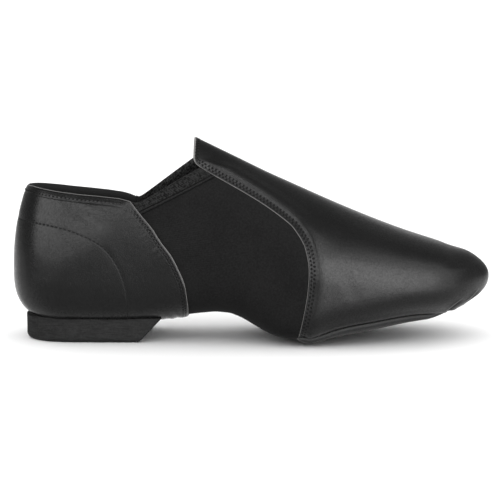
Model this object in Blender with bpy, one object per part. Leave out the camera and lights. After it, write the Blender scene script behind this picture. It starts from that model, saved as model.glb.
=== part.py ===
"""Slip-on dance shoe for the right foot, in metres: +Z is up, +X runs to the toe, -Y is the outer side.

One foot form, given by a short table of cross-sections, drives every piece. The lined upper is a hollow
shell of that form, the leather panels are thinner shells just outside it, and the two soles and the
insole are cut from the same form, so a change to the table carries every piece with it.
"""
import math

import bmesh
import bpy
import numpy as np

MM = 0.001

# Layers, in millimetres from the foot form along its normal: outside is positive.
GAP = 0.3
UPPER_WALL = 1.6
LEATHER = 1.0
BINDING = 0.6
SOLE = 2.0
INSOLE = 1.3
LEATHER_FACE = GAP + LEATHER
UNDER_LEATHER = LEATHER_FACE + GAP
INSOLE_FACE = -(UPPER_WALL + GAP)

# The foot form: one row per cross-section, in millimetres. Outer and inner are half widths, the ridge is
# the instep line, crown swells (or, below zero, flattens) the instep, and square is the power of the
# bottom corner, where 2 is an ellipse.
HEEL_AXIS = -95.0
TOE_TIP = 124.0
SECTION_COLUMNS = ("x", "outer", "inner", "widest_z", "ridge_z", "ridge_y", "bottom_z", "crown", "square")
SECTIONS = (
    (-95, 28.5, 28.0, 37.0, 124.0, 0.0, 10.8, -0.10, 4.0),
    (-64, 29.5, 27.5, 38.0, 120.0, 1.0, 10.8, -0.10, 4.0),
    (-40, 31.0, 27.0, 39.5, 109.0, 2.0, 11.8, -0.09, 3.3),
    (-22, 33.0, 27.5, 39.5, 100.0, 2.5, 13.1, -0.08, 2.5),
    (-8, 35.0, 29.0, 39.0, 93.2, 2.8, 11.8, -0.07, 2.6),
    (6, 37.5, 32.0, 37.5, 86.3, 3.1, 5.2, -0.06, 3.7),
    (22, 40.2, 36.0, 35.0, 79.0, 3.5, 2.2, -0.05, 5.6),
    (40, 41.0, 39.5, 33.0, 70.9, 4.0, 5.5, -0.03, 4.4),
    (60, 39.3, 41.0, 31.5, 62.4, 4.5, 8.5, 0.00, 3.3),
    (82, 34.0, 37.5, 31.0, 54.0, 5.0, 11.9, 0.02, 2.7),
    (104, 26.5, 31.0, 31.0, 47.2, 5.0, 14.2, 0.02, 2.4),
    (124, 17.5, 23.0, 31.5, 42.0, 4.5, 17.5, 0.03, 2.0),
)
HEEL_BACK = {
    "reach": 28.7, "widest_z": 38.0, "ridge_z": 124.0, "bottom_z": 10.8, "crown": -0.135, "square": 3.2,
}
TOE_POINT = {"y": 4.5, "z": 31.0}
TOE_CLOSES_FROM = {"plan": 90.0, "top": 107.0, "bottom": 97.0}
TOE_BLUNT = 2.3

# Grid of the form: steps round the heel, along the foot, over the toe, and from ridge to bottom each side.
HEEL_STEPS = 7
FOOT_STEPS = 16
TOE_STEPS = 7
TOE_GRID_FROM = 97.0
ROUND_STEPS = 18

# Side cuts run well past the shoe: to this reach and top, this floor, and this far to each side.
CUT_REACH = 140.0
CUT_FLOOR = -10.0
CUT_SIDE = 60.0

# Side profiles, in millimetres of x and z. The collar dips in front of the heel quarter, then climbs to
# the tab, and on the outer side it stays lower there.
TAB_BACK = -30.0
TAB_CORNER = 94.5
COLLAR_BACK = ((-CUT_REACH, 80.4), (-118, 80.4))
COLLAR = {
    "outer": (
        (-112, 80.5), (-107, 79.8), (-97, 78.3), (-87, 77.0), (-77, 76.1), (-67, 74.9), (-62.5, 73.7),
        (-60.6, 73.0), (-58.4, 72.6), (-55.4, 73.4), (-49.2, 76.9), (-41.0, 81.8), (-32.8, 86.3),
        (-27.0, 89.4),
    ),
    "inner": (
        (-112, 79.4), (-107, 78.5), (-97, 77.0), (-87, 76.0), (-77, 74.9), (-69.5, 73.7), (-65.2, 72.4),
        (-62.5, 71.2), (-60.6, 70.5), (-58.6, 71.2), (-55.4, 73.4), (-49.0, 78.2), (-41.3, 84.1),
        (-30.2, 92.4),
    ),
}
SIDE_RANGE = {"outer": (-CUT_SIDE, 1.0), "inner": (-1.0, CUT_SIDE)}
VAMP_EDGE = (
    (TAB_BACK, CUT_REACH), (TAB_BACK, TAB_CORNER), (-29.2, 93.0), (-27.1, 90.7), (-20.8, 87.0), (-12.8, 82.6),
    (-5.1, 78.4), (2.6, 74.0), (10.7, 68.9), (19.4, 62.5), (22.9, 58.5), (25.7, 54.2), (27.4, 49.7),
    (28.8, 41.4), (28.3, 29.8), (27.2, 22.3), (25.8, 14.6), (24.4, 2.8), (24.2, CUT_FLOOR),
)
QUARTER_EDGE = (
    (-61.3, CUT_REACH), (-61.3, 73.5), (-55.4, 66.2), (-50.2, 60.3), (-45.3, 53.1), (-40.4, 46.8),
    (-36.9, 40.3), (-33.7, 32.6), (-32.6, 25.3), (-32.2, 19.1), (-32.6, 14.0), (-33.0, CUT_FLOOR),
)
BINDING_REAR = {"outer": (-59.4, 71.9), "inner": (-58.6, 70.9)}
BINDING_FOOT = (
    (-21.2, 86.6), (-19.2, 85.4), (-23.4, 82.9), (-33.6, 77.8), (-41.4, 74.0), (-55.6, 67.1),
)
BINDING_TOP_FROM = -58.0
BINDING_SET_BACK = 0.1

# Plan outlines, in millimetres of x, outer y and inner y.
OUTLINE_COLUMNS = ("x", "outer", "inner")
SOLE_OUTLINE = (
    (24.5, 34.5, 30.5), (27.0, 34.8, 31.5), (35.0, 34.8, 32.6), (48.0, 34.6, 34.6), (64.0, 32.0, 35.0),
    (82.0, 26.0, 31.0), (95.0, 18.5, 24.5), (103.0, 9.5, 17.0), (105.5, 2.0, 9.5),
)
INSOLE_OUTLINE = (
    (-115.5, 6.0, 6.0), (-111.0, 13.5, 13.5), (-104.0, 18.0, 17.5), (-92.0, 20.0, 19.0), (-64.0, 20.0, 18.0),
    (-36.0, 19.5, 15.5), (-8.0, 22.5, 17.0), (22.0, 30.0, 26.5), (42.0, 31.5, 30.5), (60.0, 29.0, 31.5),
    (80.0, 23.0, 27.5), (96.0, 14.5, 20.0), (104.0, 6.0, 12.5), (106.0, 1.0, 7.5),
)
HEEL_OUTLINE = (
    (-118.3, 5.0, 5.0), (-116.6, 10.5, 10.5), (-112.5, 16.0, 16.0), (-106.0, 20.2, 20.0), (-97.0, 22.5, 22.2),
    (-80.0, 23.2, 22.6), (-60.0, 23.2, 22.4), (-40.0, 23.2, 22.2), (-10.0, 23.2, 22.2),
)
HEEL_SEAT_ROWS = 7
OUTLINE_STEPS = 3
INSOLE_STEPS = 2
LASTING_MARGIN = 9.0

# Heights between which the plan outlines cut the form.
OPENING_HEIGHTS = (-5.0, 22.0)
SOLE_HEIGHTS = (0.0, 24.0)
INSOLE_HEIGHTS = (0.0, 27.0)

HEEL_TOP_FRONT = -46.2
HEEL_TREAD_FRONT = -58.0
HEEL_HEIGHT = 12.8
HEEL_TREAD_EDGE = 2.6
HEEL_EDGE_STEPS = 3
HEEL_EDGE_ANGLE = 60.0

BLACK_LEATHER = (0.02, 0.02, 0.021)
BLACK_STRETCH = (0.014, 0.014, 0.015)
BLACK_SOLE = (0.03, 0.03, 0.031)
ROUGHNESS = 0.5


def table(columns, rows):
    return {name: np.array([row[i] for row in rows], float) for i, name in enumerate(columns)}


def smooth_column(knots, values):
    """A natural cubic spline through the values, as a function of x."""
    step = np.diff(knots)
    system = np.eye(len(knots))
    right = np.zeros(len(knots))
    slope = np.diff(values) / step
    for i in range(1, len(knots) - 1):
        system[i, i - 1:i + 2] = step[i - 1], 2 * (step[i - 1] + step[i]), step[i]
        right[i] = 6 * (slope[i] - slope[i - 1])
    bend = np.linalg.solve(system, right)

    def at(x):
        i = min(max(int(np.searchsorted(knots, x)) - 1, 0), len(knots) - 2)
        t = (x - knots[i]) / step[i]
        s = 1 - t
        curve = (s ** 3 - s) * bend[i] + (t ** 3 - t) * bend[i + 1]
        return s * values[i] + t * values[i + 1] + step[i] ** 2 / 6 * curve

    return at


SECTION_TABLE = table(SECTION_COLUMNS, SECTIONS)
SECTION_AT = {name: smooth_column(SECTION_TABLE["x"], SECTION_TABLE[name]) for name in SECTION_COLUMNS[1:]}


def closing(x, start):
    """1 behind the start, falling as a blunt quarter round to 0 at the toe tip."""
    share = min(max((x - start) / (TOE_TIP - start), 0.0), 1.0)
    return (1 - share ** TOE_BLUNT) ** (1 / TOE_BLUNT)


def section_shares(turn, crown, square):
    """How far out and up the section's outline is: turn 0 is the ridge, 0.5 the widest, 1 the bottom."""
    if turn <= 0.5:
        angle = turn * math.pi
        radius = 1 + crown * math.sin(2 * angle) ** 2
        return radius * math.sin(angle), radius * math.cos(angle)
    angle = (turn - 0.5) * math.pi
    across, down = math.cos(angle), math.sin(angle)
    radius = (abs(across) ** square + abs(down) ** square) ** (-1 / square)
    return radius * across, -radius * down


def height(rise, widest_z, ridge_z, bottom_z):
    return widest_z + rise * (ridge_z - widest_z if rise > 0 else widest_z - bottom_z)


def form_point(x, fan, turn):
    """A point of the foot form. Turn runs from -1 (outer side, bottom) over the ridge at 0 to 1."""
    row = {name: at(x) for name, at in SECTION_AT.items()}
    plan = closing(x, TOE_CLOSES_FROM["plan"])
    top = closing(x, TOE_CLOSES_FROM["top"])
    bottom = closing(x, TOE_CLOSES_FROM["bottom"])
    side_y = -row["outer"] if turn < 0 else row["inner"]
    side_y = TOE_POINT["y"] + (side_y - TOE_POINT["y"]) * plan
    ridge_y = TOE_POINT["y"] + (row["ridge_y"] - TOE_POINT["y"]) * plan
    widest_z = TOE_POINT["z"] + (row["widest_z"] - TOE_POINT["z"]) * top
    ridge_z = TOE_POINT["z"] + (row["ridge_z"] - TOE_POINT["z"]) * top
    bottom_z = TOE_POINT["z"] + (row["bottom_z"] - TOE_POINT["z"]) * bottom
    out, rise = section_shares(abs(turn), row["crown"], row["square"])
    y = ridge_y + (side_y - ridge_y) * out
    z = height(rise, widest_z, ridge_z, bottom_z)
    if fan > 0:
        back = HEEL_BACK
        back_out, back_rise = section_shares(abs(turn), back["crown"], back["square"])
        back_z = height(back_rise, back["widest_z"], back["ridge_z"], back["bottom_z"])
        share = math.sin(fan) ** 2
        x = HEEL_AXIS - back["reach"] * back_out * math.sin(fan)
        y = y * math.cos(fan)
        z = z * (1 - share) + back_z * share
    return x, y, z


def form_stations():
    """(x, fan angle) of each cross-section of the grid, from the back of the heel to the toe tip."""
    heel = [(HEEL_AXIS, math.pi / 2 * (1 - i / HEEL_STEPS)) for i in range(HEEL_STEPS)]
    foot = [(float(x), 0.0) for x in np.linspace(HEEL_AXIS, TOE_GRID_FROM, FOOT_STEPS + 1)]
    shares = [math.sin(math.pi / 2 * i / TOE_STEPS) for i in range(1, TOE_STEPS + 1)]
    toe = [(TOE_GRID_FROM + (TOE_TIP - TOE_GRID_FROM) * share, 0.0) for share in shares]
    return heel + foot + toe


def add_object(name, bm, colour=None):
    """Turns the bmesh into an object: a part with its colour, or a hidden helper without one."""
    bmesh.ops.recalc_face_normals(bm, faces=bm.faces)
    mesh = bpy.data.meshes.new(name)
    bm.to_mesh(mesh)
    bm.free()
    obj = bpy.data.objects.new(name, mesh)
    bpy.context.scene.collection.objects.link(obj)
    if colour is None:
        obj.hide_render = True
        obj.display_type = "WIRE"
    else:
        material = bpy.data.materials.new(name)
        material.use_nodes = True
        shader = material.node_tree.nodes["Principled BSDF"]
        shader.inputs["Base Color"].default_value = (*colour, 1)
        shader.inputs["Roughness"].default_value = ROUGHNESS
        mesh.materials.append(material)
    return obj


def form_shell(name, offset, colour=None):
    """The closed foot form, moved out along its normals by the offset."""
    stations = form_stations()
    around = 2 * ROUND_STEPS
    bm = bmesh.new()
    bmesh.ops.create_grid(bm, x_segments=len(stations) - 1, y_segments=around, size=1)
    for vert in bm.verts:
        station = stations[round((vert.co.x + 1) / 2 * (len(stations) - 1))]
        turn = round((vert.co.y + 1) / 2 * around) / ROUND_STEPS - 1
        vert.co = [value * MM for value in form_point(*station, turn)]
    bmesh.ops.remove_doubles(bm, verts=bm.verts, dist=1e-6)
    bmesh.ops.recalc_face_normals(bm, faces=bm.faces)
    bm.normal_update()
    moved = [vert.co + vert.normal * offset * MM for vert in bm.verts]
    for vert, co in zip(bm.verts, moved):
        vert.co = co
    return add_object(name, bm, colour)


def prism(name, points, axis, start, end):
    """A helper: a closed outline in two axes, drawn out along the third. Points are in millimetres."""
    bm = bmesh.new()
    places = {"Y": lambda a, b: (a, start, b), "Z": lambda a, b: (a, b, start)}
    verts = [bm.verts.new([value * MM for value in places[axis](a, b)]) for a, b in points]
    face = bm.faces.new(verts)
    drawn = bmesh.ops.extrude_face_region(bm, geom=[face])
    way = (0, (end - start) * MM, 0) if axis == "Y" else (0, 0, (end - start) * MM)
    bmesh.ops.translate(bm, verts=[v for v in drawn["geom"] if isinstance(v, bmesh.types.BMVert)], vec=way)
    return add_object(name, bm)


def rounded(points, per_gap):
    """More points along a closed outline, by a Catmull-Rom curve through those given."""
    points = np.array(points, float)
    found = []
    for i in range(len(points)):
        a, b, c, d = (points[(i + k) % len(points)] for k in (-1, 0, 1, 2))
        for t in np.arange(per_gap) / per_gap:
            found.append(0.5 * (2 * b + (c - a) * t + (2 * a - 5 * b + 4 * c - d) * t ** 2
                                + (3 * b - a - 3 * c + d) * t ** 3))
    return found


def outline(rows):
    """The plan outline of a table: down the outer side and back up the inner one."""
    columns = table(OUTLINE_COLUMNS, rows)
    outer = list(zip(columns["x"], -columns["outer"]))
    inner = list(zip(columns["x"], columns["inner"]))
    return outer + inner[::-1]


def shrunk(points, margin):
    """The outline drawn in about its middle, so that its box loses the margin on each side."""
    points = np.array(points, float)
    low, high = points.min(axis=0), points.max(axis=0)
    middle = (low + high) / 2
    return middle + (points - middle) * (1 - 2 * margin / (high - low))


def boolean(obj, operation, cutter):
    modifier = obj.modifiers.new(f"{operation.lower()} {cutter.name}", "BOOLEAN")
    modifier.operation = operation
    modifier.solver = "EXACT"
    modifier.object = cutter


def shell_piece(name, face, thickness, colour, kept=(), removed=()):
    """A wall of the foot form inwards from its face, kept inside some helpers and cut by others."""
    obj = form_shell(name, face, colour)
    wall = obj.modifiers.new("wall", "SOLIDIFY")
    wall.thickness = thickness * MM
    wall.offset = -1
    for cutter in kept:
        boolean(obj, "INTERSECT", cutter)
    for cutter in removed:
        boolean(obj, "DIFFERENCE", cutter)
    return obj


for leftover in list(bpy.data.objects):
    bpy.data.objects.remove(leftover, do_unlink=True)



def collar_cut(side):
    """A helper: all that lies above the collar on one side, behind the tab."""
    above = [(TAB_BACK, TAB_CORNER), (TAB_BACK, CUT_REACH), (-CUT_REACH, CUT_REACH)]
    return prism(f"collar_cut_{side}", [*COLLAR_BACK, *COLLAR[side], *above], "Y", *SIDE_RANGE[side])


def side_area(name, edge, reach):
    """A helper: all that lies on one side of an edge line, out to the reach."""
    return prism(name, [*edge, (reach, CUT_FLOOR), (reach, CUT_REACH)], "Y", -CUT_SIDE, CUT_SIDE)


def lasting_opening(name, rows):
    """A helper: the bottom inside the margin of leather that is turned under a sole."""
    return prism(name, shrunk(rounded(outline(rows), OUTLINE_STEPS), LASTING_MARGIN), "Z", *OPENING_HEIGHTS)


collars = [collar_cut(side) for side in COLLAR]
vamp_area = side_area("vamp_area", VAMP_EDGE, CUT_REACH)
quarter_area = side_area("quarter_area", QUARTER_EDGE, -CUT_REACH)
ball_opening = lasting_opening("ball_opening", SOLE_OUTLINE)
heel_opening = lasting_opening("heel_opening", HEEL_OUTLINE[:HEEL_SEAT_ROWS])

shell_piece("upper", 0, UPPER_WALL, BLACK_STRETCH, removed=(*collars, ball_opening, heel_opening))
shell_piece("vamp", LEATHER_FACE, LEATHER, BLACK_LEATHER, (vamp_area,), (ball_opening,))
shell_piece("heel_quarter", LEATHER_FACE, LEATHER, BLACK_LEATHER, (quarter_area,), (*collars, heel_opening))

for side in COLLAR:
    top = [(x, z - BINDING_SET_BACK) for x, z in COLLAR[side] if x > BINDING_TOP_FROM]
    strip = prism(f"binding_{side}_area", [BINDING_REAR[side], *top, *BINDING_FOOT], "Y", *SIDE_RANGE[side])
    shell_piece(f"binding_{side}", GAP + BINDING, BINDING, BLACK_STRETCH, (strip,))

sole_area = prism("sole_area", rounded(outline(SOLE_OUTLINE), OUTLINE_STEPS), "Z", *SOLE_HEIGHTS)
shell_piece("forefoot_sole", UNDER_LEATHER + SOLE, SOLE, BLACK_SOLE, (sole_area,))
insole_area = prism("insole_area", rounded(outline(INSOLE_OUTLINE), INSOLE_STEPS), "Z", *INSOLE_HEIGHTS)
shell_piece("insole", INSOLE_FACE, INSOLE, BLACK_STRETCH, (insole_area,))


def heel_block():
    """The heel: an upright block with a slanting front and a cupped top that follows the leather."""
    sides = rounded(outline(HEEL_OUTLINE), OUTLINE_STEPS)
    bm = bmesh.new()
    tread = bm.faces.new([bm.verts.new((x * MM, y * MM, 0)) for x, y in sides])
    drawn = bmesh.ops.extrude_face_region(bm, geom=[tread])
    top = [v for v in drawn["geom"] if isinstance(v, bmesh.types.BMVert)]
    bmesh.ops.translate(bm, verts=top, vec=(0, 0, HEEL_HEIGHT * MM))
    bmesh.ops.recalc_face_normals(bm, faces=bm.faces)
    obj = add_object("heel", bm, BLACK_SOLE)
    slant = (HEEL_TOP_FRONT - HEEL_TREAD_FRONT) / HEEL_HEIGHT
    front = [(HEEL_TREAD_FRONT + slant * z, z) for z in (CUT_FLOOR, 2 * HEEL_HEIGHT)]
    boolean(obj, "DIFFERENCE", prism("heel_breast", [*front, (0, 2 * HEEL_HEIGHT), (0, CUT_FLOOR)], "Y",
                                     -CUT_SIDE, CUT_SIDE))
    edge = obj.modifiers.new("tread edge", "BEVEL")
    edge.width = HEEL_TREAD_EDGE * MM
    edge.segments = HEEL_EDGE_STEPS
    edge.limit_method = "ANGLE"
    edge.angle_limit = math.radians(HEEL_EDGE_ANGLE)
    boolean(obj, "DIFFERENCE", form_shell("heel_seat", UNDER_LEATHER))


heel_block()
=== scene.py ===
"""Looks of a black slip-on dance shoe for the right foot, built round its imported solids.

The same foot form as the solids, on finer grids, carries every visible piece: the stretch upper, the two
leather panels with their cut edges, stitch channels and creases, the elastic binding, the insole, the
forefoot sole and the heel. Working sizes are millimetres, turned into metres where a mesh is made.
"""
import math

import bmesh
import bpy
import numpy as np
from mathutils import Matrix, Vector
from mathutils.bvhtree import BVHTree


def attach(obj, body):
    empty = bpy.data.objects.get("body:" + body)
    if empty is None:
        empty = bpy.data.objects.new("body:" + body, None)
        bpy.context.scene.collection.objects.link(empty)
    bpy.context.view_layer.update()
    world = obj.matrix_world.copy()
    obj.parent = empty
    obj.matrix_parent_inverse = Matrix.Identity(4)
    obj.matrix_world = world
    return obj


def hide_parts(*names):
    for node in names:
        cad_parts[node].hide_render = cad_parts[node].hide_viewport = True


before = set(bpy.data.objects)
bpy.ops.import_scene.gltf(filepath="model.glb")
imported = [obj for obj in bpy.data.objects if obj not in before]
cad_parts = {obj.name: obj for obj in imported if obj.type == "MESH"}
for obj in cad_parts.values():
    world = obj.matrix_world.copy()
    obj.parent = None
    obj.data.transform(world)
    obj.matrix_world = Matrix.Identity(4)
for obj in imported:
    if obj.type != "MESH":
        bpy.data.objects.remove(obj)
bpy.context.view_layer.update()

MM = 0.001

# The foot form, in millimetres: +X to the toe, -Y the outer side, +Z up.
HEEL_AXIS = -95.0
TOE_TIP = 124.0
SECTION_COLUMNS = ("x", "outer", "inner", "widest_z", "ridge_z", "ridge_y", "bottom_z", "crown", "square")
SECTIONS = (
    (-95, 28.5, 28.0, 37.0, 124.0, 0.0, 10.8, -0.10, 4.0),
    (-64, 29.5, 27.5, 38.0, 120.0, 1.0, 10.8, -0.10, 4.0),
    (-40, 31.0, 27.0, 39.5, 109.0, 2.0, 11.8, -0.09, 3.3),
    (-22, 33.0, 27.5, 39.5, 100.0, 2.5, 13.1, -0.08, 2.5),
    (-8, 35.0, 29.0, 39.0, 93.2, 2.8, 11.8, -0.07, 2.6),
    (6, 37.5, 32.0, 37.5, 86.3, 3.1, 5.2, -0.06, 3.7),
    (22, 40.2, 36.0, 35.0, 79.0, 3.5, 2.2, -0.05, 5.6),
    (40, 41.0, 39.5, 33.0, 70.9, 4.0, 5.5, -0.03, 4.4),
    (60, 39.3, 41.0, 31.5, 62.4, 4.5, 8.5, 0.00, 3.3),
    (82, 34.0, 37.5, 31.0, 54.0, 5.0, 11.9, 0.02, 2.7),
    (104, 26.5, 31.0, 31.0, 47.2, 5.0, 14.2, 0.02, 2.4),
    (124, 17.5, 23.0, 31.5, 42.0, 4.5, 17.5, 0.03, 2.0),
)
BACK_REACH = 28.7
BACK_WIDEST = 38.0
BACK_RIDGE = 124.0
BACK_BOTTOM = 10.8
BACK_CROWN = -0.135
BACK_SQUARE = 3.2
TOE_POINT_Y = 4.5
TOE_POINT_Z = 31.0
PLAN_CLOSES = 90.0
TOP_CLOSES = 107.0
BOTTOM_CLOSES = 97.0
TOE_BLUNT = 2.3
BACK_END = HEEL_AXIS - BACK_REACH * math.pi / 2

# The line through the middle of the shoe that its faces point away from.
SPINE_FRONT = 80.0
SPINE_Y = 3.0
SPINE_Z = 45.0
# Points nearer than this, in metres, become one.
MERGE = 2e-6

# Layers, outwards from the foot form.
LEATHER = 1.0
LEATHER_FACE = 1.3
UPPER_WALL = 1.6
BINDING = 0.6
BINDING_FACE = 0.9
SOLE = 2.0
SOLE_FACE = 3.6
INSOLE = 1.3
INSOLE_FACE = -1.9

# Side profiles, x and z.
OUTER, INNER = -1, 1
COLLAR_BACK = ((-140, 80.4), (-118, 80.4))
COLLAR = {
    OUTER: (
        (-112, 80.5), (-107, 79.8), (-97, 78.3), (-87, 77.0), (-77, 76.1), (-67, 74.9), (-62.5, 73.7),
        (-60.6, 73.0), (-58.4, 72.6), (-55.4, 73.4), (-49.2, 76.9), (-41.0, 81.8), (-32.8, 86.3),
        (-27.0, 89.4),
    ),
    INNER: (
        (-112, 79.4), (-107, 78.5), (-97, 77.0), (-87, 76.0), (-77, 74.9), (-69.5, 73.7), (-65.2, 72.4),
        (-62.5, 71.2), (-60.6, 70.5), (-58.6, 71.2), (-55.4, 73.4), (-49.0, 78.2), (-41.3, 84.1),
        (-30.2, 92.4),
    ),
}
TAB_BACK = -30.0
VAMP_EDGE = (
    (-29.95, 94.2), (-29.2, 92.6), (-27.1, 90.7), (-20.8, 87.0), (-12.8, 82.6), (-5.1, 78.4),
    (2.6, 74.0), (10.7, 68.9), (19.4, 62.5), (22.9, 58.5), (25.7, 54.2), (27.4, 49.7), (28.8, 41.4),
    (28.3, 29.8), (27.2, 22.3), (25.8, 14.6), (23.9, 5.0),
)
VAMP_BOTTOM = 23.4
QUARTER_CORNER = {OUTER: (-61.2, 73.22), INNER: (-59.2, 70.99)}
QUARTER_EDGE = (
    (-55.4, 66.2), (-50.2, 60.3), (-45.3, 53.1), (-40.4, 46.8), (-36.9, 40.3),
    (-33.7, 32.6), (-32.6, 25.3), (-32.2, 19.1), (-32.6, 14.5),
)
QUARTER_BOTTOM = -32.9
BAND_LOWER = (
    (-59.4, 65.2), (-55.6, 67.1), (-48.5, 70.6), (-41.4, 74.0), (-33.6, 77.8), (-23.4, 82.9), (-18.6, 85.2),
)
HEM_HEIGHT = 1.4
HEM_FURROW = HEM_HEIGHT + 0.25
COUNTER_LINE = (
    (-109.3, 62.2), (-97.0, 60.1), (-86.6, 56.7), (-76.5, 51.6), (-70.5, 45.4), (-66.0, 36.8),
    (-63.5, 26.4), (-63.3, 15.0),
)
COUNTER_BACK_Z = 63.4
TOE_PLEATS = (
    ((99.0, 11.5), (104.2, 18.6), (109.8, 22.8)),
    ((110.8, 18.2), (115.2, 22.2), (119.3, 26.2)),
)

# Plan outlines, x with the outer and inner half widths.
SOLE_OUTLINE = (
    (24.0, 34.5, 30.5), (27.0, 34.8, 31.5), (35.0, 34.8, 32.6), (48.0, 34.6, 34.6), (64.0, 32.0, 35.0),
    (82.0, 26.0, 31.0), (95.0, 18.5, 24.5), (103.0, 9.5, 17.0), (105.5, 2.0, 9.5), (106.2, -4.4, 5.6),
)
INSOLE_OUTLINE = (
    (-115.5, 6.0, 6.0), (-111.0, 13.5, 13.5), (-104.0, 18.0, 17.5), (-92.0, 20.0, 19.0),
    (-64.0, 20.0, 18.0), (-36.0, 19.5, 15.5), (-8.0, 22.5, 17.0), (22.0, 30.0, 26.5), (42.0, 31.5, 30.5),
    (60.0, 29.0, 31.5), (80.0, 23.0, 27.5), (96.0, 14.5, 20.0), (104.0, 6.0, 12.5), (106.0, 1.0, 7.5),
    (106.6, -4.0, 5.4),
)
HEEL_OUTLINE = (
    (-118.3, 5.0, 5.0), (-116.6, 10.5, 10.5), (-112.5, 16.0, 16.0), (-106.0, 20.2, 20.0),
    (-97.0, 22.5, 22.2), (-80.0, 23.2, 22.6), (-60.0, 23.2, 22.4), (-40.0, 23.2, 22.2),
)
HEEL_TOP_FRONT = -46.2
HEEL_TREAD_FRONT = -58.0
HEEL_TREAD_EDGE = 2.6
HEEL_HEIGHT = 12.8
HEEL_SPINE = (-97.0, -82.0)

# Stitching: the pitch, the thread, and how far each row lies inside the leather's edge.
STITCH_PITCH = 2.05
STITCH_LENGTH = 1.15
STITCH_WIDTH = 0.6
STITCH_HEIGHT = 0.30
STITCH_LIFT = 0.02
VAMP_ROWS = (1.3, 2.75)
COLLAR_ROW = 3.15
FRONT_ROWS = (1.6, 2.8)
COUNTER_PITCH = 2.3


def spline(knots, values, x):
    """A natural cubic spline through the values, at every x."""
    knots, values, x = (np.asarray(a, float) for a in (knots, values, x))
    step = np.diff(knots)
    system = np.eye(len(knots))
    right = np.zeros(len(knots))
    slope = np.diff(values) / step
    for i in range(1, len(knots) - 1):
        system[i, i - 1:i + 2] = step[i - 1], 2 * (step[i - 1] + step[i]), step[i]
        right[i] = 6 * (slope[i] - slope[i - 1])
    bend = np.linalg.solve(system, right)
    i = np.clip(np.searchsorted(knots, x) - 1, 0, len(knots) - 2)
    t = (x - knots[i]) / step[i]
    s = 1 - t
    curve = (s ** 3 - s) * bend[i] + (t ** 3 - t) * bend[i + 1]
    return s * values[i] + t * values[i + 1] + step[i] ** 2 / 6 * curve


def column(rows, index):
    return np.array([row[index] for row in rows], float)


def together(*columns):
    """Columns of numbers as one array, with a row for each point. A single number fills its column."""
    return np.stack(np.broadcast_arrays(*columns), axis=-1)


def section(name, x):
    return spline(column(SECTIONS, 0), column(SECTIONS, SECTION_COLUMNS.index(name)), x)


def closing(x, start):
    """1 behind the start, falling as a blunt quarter round to 0 at the toe tip."""
    share = np.clip((x - start) / (TOE_TIP - start), 0.0, 1.0)
    return (1 - share ** TOE_BLUNT) ** (1 / TOE_BLUNT)


def section_shares(turn, crown, square):
    """How far out and up the section's outline is: turn 0 is the ridge, 0.5 the widest, 1 the bottom."""
    upper = turn <= 0.5
    angle = np.where(upper, turn, turn - 0.5) * math.pi
    a, b = np.cos(angle), np.sin(angle)
    swell = 1 + crown * np.sin(2 * angle) ** 2
    corner = (np.abs(a) ** square + np.abs(b) ** square) ** (-1 / square)
    return np.where(upper, swell * b, corner * a), np.where(upper, swell * a, -corner * b)


def level(rise, widest, ridge, bottom):
    return widest + rise * np.where(rise > 0, ridge - widest, widest - bottom)


def form(along, turn):
    """Points of the foot form. Along is x, and behind the heel axis it is the way round the heel."""
    along, turn = np.broadcast_arrays(np.asarray(along, float), np.asarray(turn, float))
    x = np.clip(along, HEEL_AXIS, TOE_TIP)
    fan = np.clip((HEEL_AXIS - along) / BACK_REACH, 0, math.pi / 2)
    plan = closing(x, PLAN_CLOSES)
    top = closing(x, TOP_CLOSES)
    bottom = closing(x, BOTTOM_CLOSES)
    side_y = np.where(turn < 0, -section("outer", x), section("inner", x))
    side_y = TOE_POINT_Y + (side_y - TOE_POINT_Y) * plan
    ridge_y = TOE_POINT_Y + (section("ridge_y", x) - TOE_POINT_Y) * plan
    widest_z = TOE_POINT_Z + (section("widest_z", x) - TOE_POINT_Z) * top
    ridge_z = TOE_POINT_Z + (section("ridge_z", x) - TOE_POINT_Z) * top
    bottom_z = TOE_POINT_Z + (section("bottom_z", x) - TOE_POINT_Z) * bottom
    out, rise = section_shares(np.abs(turn), section("crown", x), section("square", x))
    back_out, back_rise = section_shares(np.abs(turn), BACK_CROWN, BACK_SQUARE)
    share = np.sin(fan) ** 2
    y = (ridge_y + (side_y - ridge_y) * out) * np.cos(fan)
    z = level(rise, widest_z, ridge_z, bottom_z) * (1 - share)
    z = z + level(back_rise, BACK_WIDEST, BACK_RIDGE, BACK_BOTTOM) * share
    return together(x - BACK_REACH * back_out * np.sin(fan), y, z)


def form_normal(along, turn):
    """Outward normals of the form, away from its poles."""
    reach, swing = 0.05, 0.0005
    forward = form(along + reach, turn) - form(along - reach, turn)
    over = form(along, turn + swing) - form(along, turn - swing)
    normal = np.cross(forward, over)
    return normal / np.linalg.norm(normal, axis=-1, keepdims=True)


def turn_where(along, side, test, low=0.0, high=1.0):
    """The turn on one side where test(points) falls from above zero to below, by halving."""
    along = np.asarray(along, float)
    low = np.full(along.shape, low)
    high = np.full(along.shape, high)
    for _ in range(40):
        middle = (low + high) / 2
        above = test(form(along, side * middle)) > 0
        low = np.where(above, middle, low)
        high = np.where(above, high, middle)
    return side * (low + high) / 2


def profile_turn(points, side):
    """(along, turn) of side-profile points in front of the heel axis."""
    points = np.asarray(points, float)
    turn = turn_where(points[:, 0], side, lambda p: p[..., 2] - points[:, 1])
    return together(points[:, 0], turn)


def collar_turn(along, side, rise=0.0):
    """The turn of the collar's line, or of a line that rises over it."""
    line = COLLAR_BACK + COLLAR[side]
    x, z = column(line, 0), column(line, 1)
    return turn_where(along, side, lambda p: p[..., 2] - np.interp(p[..., 0], x, z) - rise, high=0.5)


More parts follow.
